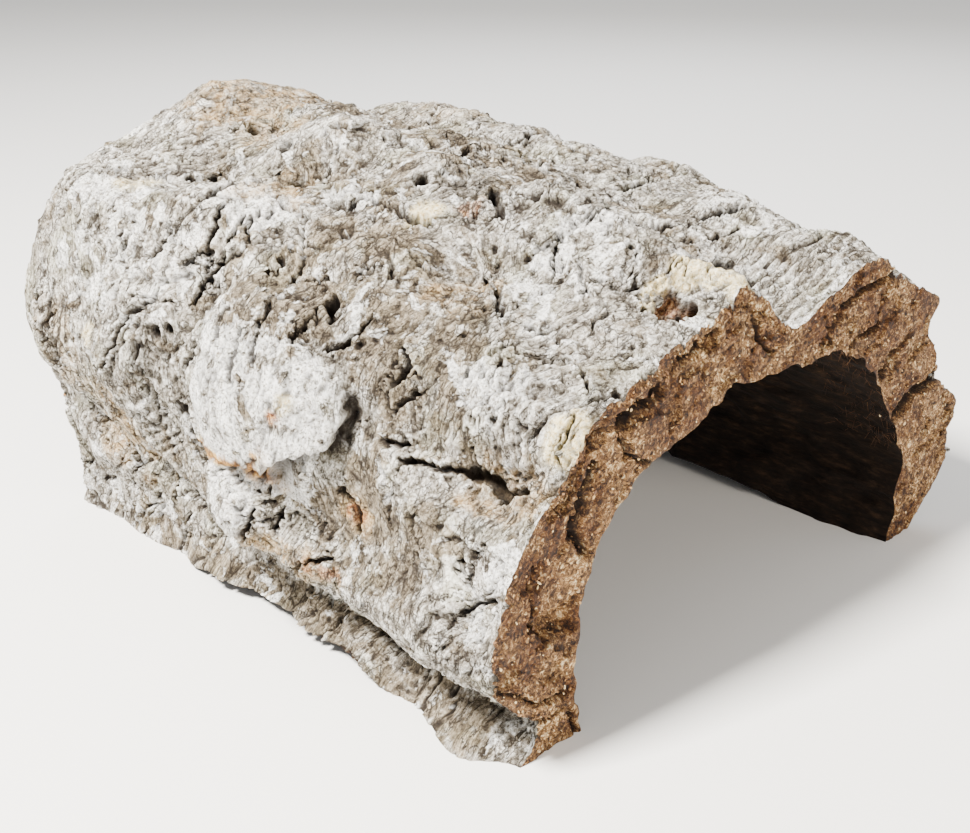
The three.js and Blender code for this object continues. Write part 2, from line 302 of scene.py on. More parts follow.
# Patches of colour: degrees round, mm behind the front cut, half sizes round and along in mm, strength
patches = {
    "bare": [(50, 60, 20, 30, 0.9), (48, 92, 17, 24, 1.0), (56, 78, 16, 26, 1.0), (86, 92, 22, 34, 0.8),
             (100, 60, 16, 14, 0.5), (24, 50, 16, 26, 0.9), (40, 40, 14, 18, 0.6), (20, 130, 12, 20, 0.7),
             (66, 105, 14, 22, 0.6), (90, 150, 26, 30, 0.8), (130, 60, 24, 36, 0.8),
             (160, 150, 24, 34, 0.7), (3, 95, 8, 100, 0.9)],
    "pale": [(34, 86, 17, 24, 1.0), (22, 95, 9, 9, 0.9), (55.5, 118, 7, 12, 1.2), (45, 133, 9, 14, 0.6),
             (70.6, 3, 3.6, 4.5, 1.0), (27, 3, 12, 5, 1.0), (72, 38, 14, 12, 0.7), (61, 35, 7, 7, 0.7),
             (46, 27, 9, 12, 0.6), (50, 66, 10, 12, 0.5), (48, 165, 22, 24, 0.6), (4, 165, 8, 30, 0.4),
             (112, 45, 10, 16, 0.5), (63, 103, 6, 10, 0.8), (21, 10, 8, 5, 0.8), (95, 8, 14, 10, 0.4),
             (130, 130, 20, 26, 0.5), (150, 50, 22, 26, 0.4)],
    "warm": [(77, 178, 22, 20, 1.0), (60, 113, 5, 7, 0.8), (60, 124, 9, 9, 0.9), (57, 49, 8, 8, 1.0),
             (37, 14, 8, 14, 1.0), (15, 76, 6, 18, 0.9), (20, 168, 16, 14, 0.9), (26, 57, 5, 5, 1.0),
             (71, 157, 9, 12, 0.8), (30, 180, 14, 10, 0.5), (142, 110, 16, 22, 0.6),
             (118, 170, 20, 18, 0.5)],
    "cream": [(44.5, 3, 7, 5, 1.0), (77.5, 14.5, 3.6, 4.5, 1.0), (79.2, 8, 4.2, 5, 1.0),
              (79.5, 2, 4.2, 4, 1.0), (73, 18, 4.0, 1.8, 1.0), (70, 16, 3, 2, 0.8), (65, 77, 7, 4, 0.9),
              (33, 166, 4, 4, 0.7), (53, 168, 4, 5, 0.6), (35.5, 73, 2.4, 2.6, 1.0), (27, 117, 3, 6, 1.0),
              (26, 101, 2.5, 5, 1.0)],
    "rust": [(72.5, 11, 5.0, 5.0, 1.0), (26.5, 109, 3, 6, 1.0), (28, 118, 2, 3, 0.8),
             (34, 75, 2.2, 2.6, 1.0), (70, 72, 5, 4, 0.8), (26, 57, 3, 3, 0.9), (16, 66, 2.5, 8, 0.7)],
}

# Ledges, where a plate ends above the next: rise and reach in mm, the way to the raised side, the path
ledges = {
    "paleRidge": (1.7, 9, (1, 0), [(60, 106), (61, 98), (64, 90), (63, 80), (63, 73)]),
    "underRidge": (1.3, 6, (1, 0), [(58, 113), (57, 104), (57.5, 97), (57, 88)]),
    "besideNotch": (2.2, 13, (1, 0), [(70, 61), (73, 57), (75, 50), (76, 40)]),
    "whitePatch": (1.6, 8, (-1, 0), [(59, 108), (58, 117), (57, 126)]),
    "leafEdge": (1.3, 8, (1, 0), [(57, 74), (54, 66), (55, 56), (57, 46)]),
    "rearShoulder": (1.5, 10, (1, 0), [(46, 120), (44, 134), (42, 148), (37, 160)]),
    "rearFlank": (1.2, 8, (0.9, -0.4), [(33, 140), (30, 156), (33, 172), (30, 188)]),
    "crown": (1.7, 12, (1, 0), [(88, 104), (90, 82), (93, 62), (97, 48)]),
    "crownFront": (1.2, 8, (0, 1), [(88, 24), (96, 20), (106, 22), (114, 18)]),
    "frontLow": (1.3, 9, (1, 0), [(33, 46), (30, 32), (29, 12)]),
    "frontMiddle": (1.2, 8, (0.7, 0.7), [(50, 46), (47, 36), (50, 24), (48, 12)]),
    "rightUpper": (2.2, 12, (-1, 0), [(125, 56), (128, 82), (124, 112)]),
    "rightRear": (2.0, 12, (-1, 0), [(150, 118), (147, 148), (152, 178)]),
    "rightLow": (1.6, 9, (-1, 0.3), [(163, 20), (160, 52), (164, 84)]),
}

# The big speckled knob, a plate along a bent line: degrees round, mm behind the front cut, half width in mm
knob = {"line": [(37, 71, 9.5), (33.5, 86, 12.5), (29.5, 112, 6.5), (28.5, 121, 4.5)], "lift": 3.0,
        "overhang": 3.2, "gapDepth": 3.2, "gapWidth": 2.4}
# The pale tongue that hangs from the knob to a point
tongue = {"line": [(24.5, 106, 9.0), (21, 96, 6.5), (16, 88, 1.0)], "lift": 1.8}
# Fine ripples like a fingerprint: middle, half sizes in mm, line spacing and height in mm, turn in degrees
ripples = {
    "hollowRipples": (25, 143, 12, 9, 2.6, 0.7, 35),
    "pocketPrint": (42, 8, 6, 9, 1.5, 0.35, -35),
    "crownRings": (104, 14, 32, 26, 3.0, 0.6, 90),
    "rearRings": (30, 182, 14, 12, 2.8, 0.4, 80),
}

# What shows on the front cut, in mm from the arch's middle and from the ground: half width, depth, path
cutCracks = {
    "leftLong": (0.8, 3.5, [(-88, 52), (-90, 45), (-91, 37), (-86, 30)]),
    "crescent": (2.0, 4.5, [(-71, 69), (-74, 64), (-76, 59), (-77, 55), (-74, 50)]),
    "knobHollow": (1.7, 5.5, [(-63, 77.5), (-58, 79.5), (-53, 80.5), (-48, 81.5)]),
    "knobUnder": (0.8, 2.6, [(-63, 75), (-61, 70), (-56, 66), (-50, 64)]),
    "shadeHollow": (1.5, 4.5, [(-40, 86.5), (-36, 89), (-31, 90.5), (-27.5, 90)]),
    "bandLine": (0.6, 2.0, [(-82, 62), (-76, 70), (-68, 77)]),
    "lobeArc": (0.7, 1.8, [(-103, 29), (-99, 22), (-90, 16), (-79, 13)]),
    "crownFine": (0.8, 3.2, [(-11.3, 89.6), (-8, 84), (-4, 79.5)]),
    "lipEdge": (0.5, 1.0, [(-22, 97), (-8, 91), (1, 84)]),
    "rightInner": (0.6, 2.4, [(19, 84), (22, 80), (24, 76)]),
    "rightLong": (1.1, 4.6, [(54, 88), (35, 86), (25, 82), (20, 75)]),
    "rightTop": (0.9, 3.2, [(51, 85), (49, 79)]),
    "rightMiddle": (1.0, 3.6, [(50, 75), (40, 74), (34, 71)]),
    "rightSlit": (1.2, 5.0, [(66, 67), (59, 62), (53, 58)]),
    "rightGap": (1.8, 6.5, [(88, 50), (72, 47), (63, 42)]),
    "rightFine": (0.6, 1.6, [(92, 30), (84, 27), (77, 26)]),
    "footGap": (1.0, 2.5, [(-78, 8), (-75, 1)]),
    "footJoint": (0.6, 1.5, [(-91, 11), (-85, 10), (-80, 10)]),
}
# X, Z, half sizes and depth in mm, where a raised knob is negative
cutHollows = [(-80, 34, 7.5, 5.5, 3.5), (-80, 62, 2.0, 1.6, 2.0), (-29.5, 88.5, 3.4, 2.2, 3.0),
              (-52.5, 71.5, 9.0, 6.5, -2.2), (-64, 58, 6.5, 9.0, -0.9)]
rearCracks = {
    "rearArc": (0.9, 3.0, [(-95, 62), (-84, 78), (-68, 92)]),
    "rearTop": (0.8, 2.5, [(-40, 112), (-14, 113), (4, 106)]),
    "rearSplit": (1.2, 4.0, [(58, 100), (66, 88), (70, 74)]),
    "rearRight": (0.8, 2.5, [(92, 60), (88, 40), (84, 22)]),
    "rearLeft": (0.8, 2.5, [(-86, 18), (-84, 34), (-88, 48)]),
}


weldWithin = 0.01  # mm
footHeight = 4.3  # mm
footLean = -0.7  # a foot's faces point down at least this much


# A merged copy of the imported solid, each face marked: 0 bark, 1 sawn cut, 2 inside, 3 foot
def markedCopy():
    shape = bmesh.new()
    shape.from_mesh(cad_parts["cork_bark"].data)
    bmesh.ops.remove_doubles(shape, verts=shape.verts, dist=weldWithin * mm)
    shape.normal_update()
    for face in shape.faces:
        ends = {round(abs(v.co.y) / mm, 1) for v in face.verts}
        low = max(v.co.z for v in face.verts) < footHeight * mm
        face.material_index = 1 if ends == {halfLength} else 3 if low and face.normal.z < footLean else 2
    start = max((f for f in shape.faces if f.material_index == 2), key=lambda f: f.calc_center_median().z)
    start.material_index = 0
    edge = [start]
    while edge:
        face = edge.pop()
        for link in face.edges:
            for other in link.link_faces:
                if other.material_index == 2:
                    other.material_index = 0
                    edge.append(other)
    bmesh.ops.join_triangles(shape, faces=shape.faces, cmp_materials=True, angle_face_threshold=math.pi,
                             angle_shape_threshold=math.pi)
    return shape


# Keeps the rims sharp and gives each corner its place through the wall, 0 inside to 1 on the bark
def addWallDepth(shape):
    crease = shape.edges.layers.float.new("crease_edge")
    for edge in shape.edges:
        if len({f.material_index for f in edge.link_faces}) > 1:
            edge[crease] = 1.0
    wall = shape.verts.layers.float.new("wall")
    sides = {0: [], 2: []}
    for vert in shape.verts:
        kinds = {f.material_index for f in vert.link_faces}
        vert[wall] = 1.0 if 0 in kinds else 0.0 if 2 in kinds else -1.0
        for kind in kinds & {0, 2}:
            sides[kind].append(vert.co)
    outer, inner = (np.array(sides[k]) for k in (0, 2))
    for vert in shape.verts:
        if vert[wall] < 0:
            place = np.array(vert.co)
            toOuter = np.sqrt(((outer - place) ** 2).sum(1).min())
            toInner = np.sqrt(((inner - place) ** 2).sum(1).min())
            vert[wall] = toInner / (toInner + toOuter)


def fineMesh():
    shape = markedCopy()
    addWallDepth(shape)
    rough = newPiece("roughBark", shape, [])
    smooth = rough.modifiers.new("smooth", "SUBSURF")
    smooth.levels = smooth.render_levels = bark["subdivisions"]
    smooth.boundary_smooth = "PRESERVE_CORNERS"
    dressed = rough.evaluated_get(bpy.context.evaluated_depsgraph_get())
    mesh = bpy.data.meshes.new_from_object(dressed)
    bpy.data.objects.remove(rough)
    splitNearCracks(mesh)
    return mesh


# Each place's mm round the arch from the left foot, and mm behind the front cut
def barkPlaces(place):
    degreesRound = np.degrees(np.arctan2(place[:, 2], archMiddle - place[:, 0]))
    return degreesRound * perDegree, place[:, 1] + halfLength


# How far each place is from a spot on the bark, in mm, or in the spot's own half sizes where it has them
def fromSpot(around, along, at, back, halfRound=1.0, halfAlong=1.0):
    return np.hypot((around - at * perDegree) / halfRound, (along - back) / halfAlong)


# Halves the faces round the drawn cracks, holes and bowls, and on the front cut, where the walls are steep
def splitNearCracks(mesh):
    around, along = barkPlaces(readVectors(mesh.polygons, "center", len(mesh.polygons)) / mm)
    limits = bark["steep"]
    depth, lip = crackDepth(around, along, barkCracks, perDegree)
    steep = (depth > limits["depth"]) | (lip > limits["lip"])
    for at, back, radius, _ in holes + bowls:
        steep |= fromSpot(around, along, at, back) < limits["holeReach"] * radius + limits["margin"]
    shape = bmesh.new()
    shape.from_mesh(mesh)
    steep &= [f.material_index == 0 for f in shape.faces]
    steep |= [f.material_index == 1 and f.calc_center_median().y < 0 for f in shape.faces]
    faces = [f for f, wanted in zip(shape.faces, steep) if wanted]
    chosen = set(faces)
    edges = {e for f in faces for e in f.edges if all(other in chosen for other in e.link_faces)}
    bmesh.ops.subdivide_edges(shape, edges=list(edges), cuts=1, use_grid_fill=True)
    shape.to_mesh(mesh)
    shape.free()


def readVectors(collection, name, count):
    values = np.zeros(count * 3)
    collection.foreach_get(name, values)
    return values.reshape(-1, 3)


farAway = 1e9  # mm


# A path on the bark with its degrees round turned into mm
def inMm(path):
    return [(at * perDegree, *rest) for at, *rest in path]


# For each stretch of a path: its ends, how far along it each place's nearest point is, the way from there
def stretches(u, v, path):
    for start, end in zip(path, path[1:]):
        du, dv = end[0] - start[0], end[1] - start[1]
        share = np.clip(((u - start[0]) * du + (v - start[1]) * dv) / (du * du + dv * dv), 0, 1)
        yield start, end, share, u - start[0] - share * du, v - start[1] - share * dv


# Distance from each place to a bent line
def lineDistance(u, v, path):
    least = np.full(len(u), farAway)
    for _, _, _, offU, offV in stretches(u, v, path):
        least = np.minimum(least, np.hypot(offU, offV))
    return least


# The depth of all cracks, and the share of the raised lip beside them
def crackDepth(u, v, allCracks, roundUnit=1.0):
    depth, lip = np.zeros(len(u)), np.zeros(len(u))
    reach = bark["crackReach"]
    for half, deep, path in allCracks:
        path = [(a * roundUnit, b) for a, b in path]
        (lowU, highU), (lowV, highV) = [(min(ways) - reach, max(ways) + reach) for ways in zip(*path)]
        half *= bark["crackWidth"]
        near = np.nonzero((u > lowU) & (u < highU) & (v > lowV) & (v < highV))[0]
        away = lineDistance(u[near], v[near], path)
        depth[near] = np.maximum(depth[near], deep * np.exp(-(away / half) ** 2))
        lip[near] = np.maximum(lip[near], np.exp(-((away - 2.2 * half) / half) ** 2))
    return depth, lip


def patchStrength(around, along, spots, wobble):
    total = np.zeros(len(around))
    for u, v, halfRound, halfAlong, strength in spots:
        away = fromSpot(around, along, u, v, halfRound, halfAlong) + 0.45 * wobble
        total = np.maximum(total, strength * (1 - smoothStep(away, 0.65, 1.15)))
    return total


# The grain: how far each place lies across its lines and along them, in mm
def grainPlaces(around, along, p):
    across, lengthwise = along, around
    for sway, size, seed in ((9, 42.0, 301), (3.5, 15.0, 302), (1.1, 5.0, 303)):
        across = across + sway * smoothNoise(p, size, seed)
    for at, back, reach, pull in grainKnots:
        across += pull * np.exp(-(fromSpot(around, along, at, back) / reach) ** 2)
    for sway, size, seed in ((7, 40.0, 304), (2.5, 12.0, 305)):
        lengthwise = lengthwise + sway * smoothNoise(p, size, seed)
    return across, lengthwise


def onGrain(across, lengthwise, sizeAcross, sizeLong):
    return np.stack([across / sizeAcross, lengthwise / sizeLong, np.zeros(len(across))], 1)


# Steps and cracks of the bark's own pattern: terraces, then plates of three sizes, then furrows, and the
# painted shade of their cracks
def plateRelief(p, across, lengthwise, calm):
    broken = smoothStep(smoothNoise(p, 26.0, 81) + 0.4 * smoothNoise(p, 9.0, 82), -0.3, 0.5)
    broken = broken * (1 - 0.85 * calm)
    kind = bark["terraces"]
    places = onGrain(across, lengthwise, kind["across"], kind["long"])
    level = kind["steps"] * layeredNoise(places, 1.0, 3, kind["seed"])
    rest = level - np.floor(level)
    height = kind["rise"] * (smoothStep(rest, 0.0, 0.14) - rest) * (0.4 + 0.6 * broken)
    crackShadeMask = 0.6 * np.exp(-((rest - 0.03) / 0.07) ** 2) * broken
    for key, strength in (("slabs", 1 - 0.8 * calm), ("plates", broken), ("scales", 0.25 + 0.75 * broken)):
        kind = bark[key]
        jog = 0.22 * layeredNoise(p, 3.0, 2, kind["seed"] + 5)
        u, v = across / kind["across"] + jog, lengthwise / kind["long"] - jog
        gap, number = scatterCells(u, v, kind["seed"])
        line = np.exp(-(gap / kind["crackWidth"]) ** 2) * strength * smoothStep(number, 0.1, 0.6)
        height += kind["step"] * (number - 0.5) * strength * smoothStep(gap, 0.0, 0.22)
        height -= kind["crack"] * line
        crackShadeMask = np.maximum(crackShadeMask, line * min(1.0, kind["crack"]))
    for apart, deep, sharp, seed in bark["furrows"]:
        wave = across / apart + 0.5 * smoothNoise(p, 4.0, seed)
        share = smoothStep(smoothNoise(p, 16.0, seed + 7) + 0.5 * smoothNoise(p, 3.5, seed + 9), -0.1, 0.55)
        height -= deep * (1 - np.abs(np.sin(math.pi * wave))) ** sharp * share
    return height, crackShadeMask


# All that is raised from or sunk into the bark: heights in mm and the mask of painted shade in its cracks,
# step feet and holes
def barkRelief(around, along, p, across, lengthwise):
    calm = 1 - smoothStep(fromSpot(around, along, *bark["calmCrown"]), 0.6, 1.1)
    height, crackShadeMask = plateRelief(p, across, lengthwise, calm)
    for size, rise, seed in bark["swell"]:
        height += rise * layeredNoise(p, size, 2, seed)
    for at, back, halfRound, halfAlong, spacing, rise, turn in ripples.values():
        a = math.radians(turn)
        mask = 1 - smoothStep(fromSpot(around, along, at, back, halfRound, halfAlong), 0.6, 1.0)
        ways = (around - at * perDegree) * math.cos(a) + (along - back) * math.sin(a)
        height += rise * mask * np.sin(2 * math.pi * (ways + 1.2 * smoothNoise(p, 14.0, 84)) / spacing)
    shift = [0.8 * layeredNoise(p, 5.0, 3, seed) + 0.7 * layeredNoise(p, 1.6, 3, seed + 30)
             for seed in (61, 71)]
    deep, lip = crackDepth(around + shift[0], along + shift[1], barkCracks, perDegree)
    step, foot = ledgeRelief(around + 1.6 * shift[0], along + 1.6 * shift[1], p)
    height += 0.6 * lip - deep + step
    for rise, half, path in rolls.values():
        away = lineDistance(around + shift[0], along + shift[1], inMm(path))
        height += rise * np.exp(-(away / half) ** 4)
    for at, back, radius, sunk in bowls:
        away = fromSpot(around, along, at, back) / radius + 0.15 * smoothNoise(p, 3.0, 93)
        height -= sunk * (1 - smoothStep(away, 0.6, 1.05))
    crackShadeMask = np.maximum.reduce([crackShadeMask, 0.85 * foot, smoothStep(deep, 0.2, 1.6)])
    for at, back, radius, sunk in holes:
        away = fromSpot(around, along, at, back) + 0.25 * radius * smoothNoise(p, 2.6, 92)
        hole = np.exp(-(away / radius) ** 4)
        height += 0.6 * np.exp(-((away - 1.6 * radius) / (0.6 * radius)) ** 2) - sunk * hole
        crackShadeMask = np.maximum(crackShadeMask, 1 - smoothStep(away / radius, 0.85, 1.3))
    return height, crackShadeMask


# Plates that end in a small step: their height, and the dark foot of the step, where shade is painted
def ledgeRelief(u, v, p):
    height, foot = np.zeros(len(u)), np.zeros(len(u))
    for rise, reach, towards, path in ledges.values():
        least, side = np.full(len(u), farAway), np.zeros(len(u))
        for _, _, _, offU, offV in stretches(u, v, inMm(path)):
            away = np.hypot(offU, offV)
            side = np.where(away < least, offU * towards[0] + offV * towards[1], side)
            least = np.minimum(least, away)
        height += rise * np.exp(-(least / reach) ** 2) * smoothStep(side, -0.2, 0.6)
        foot = np.maximum(foot, np.exp(-((side + 0.5) / 0.6) ** 2) * np.exp(-(least / 1.6) ** 4))
    gate = smoothStep(smoothNoise(p, 7.0, 99), -0.5, 0.2)
    return height - 0.8 * foot * gate, foot * gate


# How far each place is from a line that swells and narrows, in its own half widths, and how far below it
def fromSwollenLine(around, along, line):
    least, below = np.full(len(around), farAway), np.zeros(len(around))
    for start, end, share, offU, offV in stretches(around, along, inMm(line)):
        width = start[2] + share * (end[2] - start[2])
        away = np.hypot(offU, offV) / width
        below = np.where(away < least, -(offU + 0.45 * offV) / width, below)
        least = np.minimum(least, away)
    return least, below


# The big speckled knob: a plate that blends into the bark above and overhangs a gap below and in front
def knobShape(around, along, p):
    away, below = fromSwollenLine(around, along, knob["line"])
    away += 0.10 * smoothNoise(p, 8.0, 95) + 0.07 * layeredNoise(p, 2.5, 2, 96)
    lowSide = smoothStep(below + 0.35 * smoothStep(-along, -78, -66), 0.0, 0.5)
    plate = (1 - smoothStep(away, 0.91, 0.99)) * lowSide + (1 - smoothStep(away, 0.5, 1.2)) * (1 - lowSide)
    rim = smoothStep(away, 0.55, 0.88) * (1 - smoothStep(away, 0.90, 0.97)) * lowSide
    tornSide = smoothStep(along + 5 * smoothNoise(p, 5.0, 97), 74, 82)
    rim *= 1 - 0.9 * tornSide
    gap = np.exp(-((away - 1.05) * 10 / knob["gapWidth"]) ** 2) * lowSide * (1 - 0.5 * tornSide)
    edge = smoothStep(away + 0.12 * smoothNoise(p, 1.8, 99), 0.70, 0.80)
    edge *= (1 - smoothStep(away, 1.15, 1.35)) * lowSide * tornSide
    hang, _ = fromSwollenLine(around, along, tongue["line"])
    hang = 1 - smoothStep(hang + 0.12 * smoothNoise(p, 3.0, 98), 0.86, 1.0)
    return plate, rim, gap * (1 - hang), edge, hang * (1 - plate)


# How deep a cut's cracks, hollows and torn grain go, in mm, and the mask of painted shade in its cracks and
# sunk torn grain
def cutRelief(x, z, p, allCracks, hollows):
    wobble = [0.9 * layeredNoise(p, 4.0, 3, seed) for seed in (101, 111)]
    deep, lip = crackDepth(x + wobble[0], z + wobble[1], allCracks.values())
    depth = 1.3 * deep - 0.2 * lip
    for at, up, halfX, halfZ, sunk in hollows:
        away = np.hypot((x - at) / halfX, (z - up) / halfZ) + 0.25 * smoothNoise(p, 3.0, 121)
        depth += sunk * (1 - smoothStep(away, 0.7, 1.0))
    grain = 0.34 * layeredNoise(p, 2.6, 3, 131) + 0.6 * layeredNoise(p, 9.0, 2, 141)
    torn = smoothStep(layeredNoise(p, 7.0, 4, 145), 0.35, 0.5)
    return depth + grain + 1.1 * torn, np.maximum(smoothStep(deep, 0.3, 1.6), 0.25 * torn)


# Levels each value towards its neighbours', to tell hollows from tops
def levelled(values, edges, rounds):
    count = len(values)
    shared = np.bincount(edges.ravel(), minlength=count)
    for _ in range(rounds):
        total = np.bincount(edges[:, 0], values[edges[:, 1]], count)
        total += np.bincount(edges[:, 1], values[edges[:, 0]], count)
        values = 0.4 * values + 0.6 * total / shared
    return values


def addField(mesh, name, values):
    kind, entry = ("FLOAT_VECTOR", "vector") if values.ndim == 2 else ("FLOAT", "value")
    mesh.attributes.new(name, kind, "POINT").data.foreach_set(entry, values.astype(np.float32).ravel())


def dressedMesh():
    mesh = fineMesh()
    count = len(mesh.vertices)
    print("fine bark mesh", count, "points")
    place = readVectors(mesh.vertices, "co", count) / mm
    normal = readVectors(mesh.vertex_normals, "vector", count)
    wall = np.zeros(count)
    mesh.attributes["wall"].data.foreach_get("value", wall)
    edges = np.zeros(len(mesh.edges) * 2, np.int32)
    mesh.edges.foreach_get("vertices", edges)
    x, z = place[:, 0] - archMiddle, place[:, 2]
    around, along = barkPlaces(place)
    radius = np.maximum(np.hypot(x, z), 1.0)
    outward = np.stack([x / radius, np.zeros(count), z / radius], 1)
    uphill = np.stack([z / radius, np.zeros(count), -x / radius], 1)
    fromCut = np.minimum(along, 2 * halfLength - along)
    free = smoothStep(fromCut, 0.0, 4.0)[:, None]
    facing = outward * (1 - free) + np.where(wall[:, None] > 0.5, normal, -normal) * free
    facing /= np.linalg.norm(facing, axis=1)[:, None]
    across, lengthwise = grainPlaces(around, along, place)
    height, crackShadeMask = barkRelief(around, along, place, across, lengthwise)
    plate, rim, gap, edge, hang = knobShape(around, along, place)
    height = height * (1 - 0.6 * plate) + knob["lift"] * plate - knob["gapDepth"] * gap * (1 - plate)
    height += tongue["lift"] * hang
    onBark = np.maximum(smoothStep(wall, 0.75, 0.98), wall ** 3)
    lift = smoothStep(z, 0.0, 7.0)  # what lies near the ground stays flatter, so that it keeps off the floor
    onBark *= 0.3 + 0.7 * lift
    facing[:, 2] *= lift
    moved = place + facing * (height * onBark)[:, None]
    moved -= uphill * (knob["overhang"] * rim * onBark)[:, None]
    inner = 1.6 * layeredNoise(place * [1, 0.35, 1], 9.0, 3, 151)
    inner += 0.45 * layeredNoise(place * [1, 0.2, 1], 3.0, 2, 161)
    inner += 1.1 * smoothStep(layeredNoise(place * [1, 0.5, 1], 7.0, 2, 155), 0.0, 0.4)
    moved -= facing * (inner * smoothStep(1 - wall, 0.75, 0.98))[:, None]
    frontDepth, frontCutShade = cutRelief(x, z, place, cutCracks, cutHollows)
    rearDepth, rearCutShade = cutRelief(x, z, place + 300.0, rearCracks, [])
    layers = 0.35 * (1 - np.abs(np.sin(math.pi * (7 * wall + 0.8 * smoothNoise(place, 12.0, 181))))) ** 3
    inWall = np.maximum(smoothStep(wall, 0.0, 0.1) * smoothStep(1 - wall, 0.0, 0.1), 0.15)
    moved[:, 1] += np.maximum(frontDepth + layers, -1.5) * (along < 0.01) * inWall
    moved[:, 1] -= np.maximum(rearDepth + layers, -1.5) * (fromCut < 0.01) * (along > halfLength) * inWall
    moved[:, 2] = np.where(z < 0.02, 0.0, np.maximum(moved[:, 2], np.minimum(z, 0.3)))
    moved *= mm
    mesh.vertices.foreach_set("co", moved.ravel())
    wobble = layeredNoise(place, 6.0, 4, 171)
    # Painted shade in the cracks, holes and step feet, and a painted shadow in the gap under the knob's
    # overhang
    addField(mesh, "crackShadeMask", np.maximum(crackShadeMask, gap * (1 - plate)))
    # Painted shade in the sawn faces' cracks and sunk torn grain
    addField(mesh, "cutShadeMask", np.where(along < halfLength, frontCutShade, rearCutShade))
    # Height above the neighbours' level; the bark finish paints tops lighter and hollows darker from it, as
    # painted light and shade
    addField(mesh, "cavity", height - levelled(height, edges.reshape(-1, 2), 14))
    addField(mesh, "grain", np.stack([across, lengthwise, height], 1) * mm)
    for name, spots in patches.items():
        extra = np.maximum(plate, hang) if name == "pale" else 0
        addField(mesh, name, np.maximum(patchStrength(around, along, spots, wobble), extra))
    addField(mesh, "knobEdge", edge)
    mesh.polygons.foreach_set("use_smooth", np.ones(len(mesh.polygons), bool))
    return thinned(mesh, np.clip(wall, 0, 1))


# Fewer faces on the inside and where the surface is calm, so that the cracks keep theirs
def thinned(mesh, weights):
    piece = placed("wholeBark", mesh)
    group = piece.vertex_groups.new(name="bark")
    steps = 4
    for step in range(steps + 1):
        chosen = np.nonzero(np.round(weights * steps) == step)[0]
        group.add(chosen.tolist(), step / steps, "REPLACE")
    shrink = piece.modifiers.new("thin", "DECIMATE")
    shrink.ratio = bark["keptShare"]
    shrink.vertex_group = "bark"
    shrink.invert_vertex_group = True
    smaller = bpy.data.meshes.new_from_object(piece.evaluated_get(bpy.context.evaluated_depsgraph_get()))
    bpy.data.objects.remove(piece)
    return smaller


# One piece of the whole surface: the faces whose kind and side are asked for
def cutOut(name, whole, kinds, side, material):
    shape = bmesh.new()
    shape.from_mesh(whole)
    others = [f for f in shape.faces if f.material_index not in kinds or not side(f.calc_center_median())]
    bmesh.ops.delete(shape, geom=others, context="FACES")
    for face in shape.faces:
        face.material_index = 0
    return newPiece(name, shape, [material])


leftEnd, rightStart = -30.0, 30.0  # mm, X of the two lines on the crown where the bark's pieces meet


def makeBark(barkFinish, cutFinish, insideFinish):
    whole = dressedMesh()
    print("whole surface", len(whole.polygons), "faces")
    pieces = [
        cutOut("leftBark", whole, {0}, lambda c: c.x < leftEnd * mm, barkFinish),
        cutOut("crownBark", whole, {0}, lambda c: leftEnd * mm <= c.x < rightStart * mm, barkFinish),
        cutOut("rightBark", whole, {0}, lambda c: c.x >= rightStart * mm, barkFinish),
        cutOut("sawnFaces", whole, {1}, lambda c: True, cutFinish),
        cutOut("insideAndFeet", whole, {2, 3}, lambda c: True, insideFinish),
    ]
    for piece in pieces:
        print(piece.name, len(piece.data.polygons), "faces")
    return pieces


# Small loose things: how many, or their share of the faces, least and greatest size in mm, and seed
flakes = {"share": 0.0073, "sizes": (1.2, 4.2), "thin": 0.16, "tilt": 22, "seed": 7}
crumbs = {"count": 4000, "sizes": (0.3, 0.85), "seed": 8}
fibres = {"count": 420, "from": (25, -75, 30), "lengths": (1.2, 4.5), "thick": 0.05, "seed": 10}
batchSize = 40


# Adds many small shapes to one piece, a batch at a time
def scattered(name, count, fields, addOne, finish):
    whole = bmesh.new()
    for label, kind in fields.items():
        getattr(whole.verts.layers, kind).new(label)
    for start in range(0, count, batchSize):
        batch = bmesh.new()
        layers = {label: getattr(batch.verts.layers, kind).new(label) for label, kind in fields.items()}
        for _ in range(min(batchSize, count - start)):
            addOne(batch, layers)
        mesh = bpy.data.meshes.new("batch")
        batch.to_mesh(mesh)
        batch.free()
        whole.from_mesh(mesh)
        bpy.data.meshes.remove(mesh)
    return newPiece(name, whole, [finish])


def turnTowards(way):
    return way.to_track_quat("Z", "Y").to_matrix().to_4x4()


# Thin flakes of bark, tilted so that they lift at one edge
def makeFlakes(source, name, finish):
    draw = random.Random(flakes["seed"])
    mesh = source.data
    places = mesh.attributes["grain"].data
    masks = mesh.attributes["crackShadeMask"].data

    def addFlake(batch, layers):
        face = mesh.polygons[draw.randrange(len(mesh.polygons))]
        corner = face.vertices[0]
        if masks[corner].value > 0.3 or face.center.z < 8 * mm:
            return
        low, high = flakes["sizes"]
        size = (low + (high - low) * draw.random() ** 2.5) * mm / 2
        turn = turnTowards(face.normal)
        tilt = Matrix.Rotation(math.radians(flakes["tilt"] * draw.uniform(0.3, 1)), 4, "X")
        spin = Matrix.Rotation(draw.uniform(0, 2 * math.pi), 4, "Z")
        scale = Matrix.Diagonal((size * draw.uniform(0.45, 1.0), size, size * flakes["thin"] * 2, 1))
        made = bmesh.ops.create_cone(batch, cap_ends=True, segments=8, radius1=1.0, radius2=0.8, depth=1.0,
                                     matrix=Matrix.Translation(face.center) @ turn @ spin @ tilt @ scale)
        home = Vector(places[corner].vector)
        for vert in made["verts"]:
            vert.co += Vector([draw.uniform(-0.16, 0.16) * size for _ in range(3)])
            away = vert.co - face.center
            vert[layers["grain"]] = home + Vector((away.y, away.x, away.z))
            # Flakes count as raised, so they get the painted light of tops and none of the painted hollow
            # shade
            vert[layers["cavity"]] = 0.35

    count = round(flakes["share"] * len(mesh.polygons))
    return scattered(name, count, {"grain": "float_vector", "cavity": "float"}, addFlake, finish)


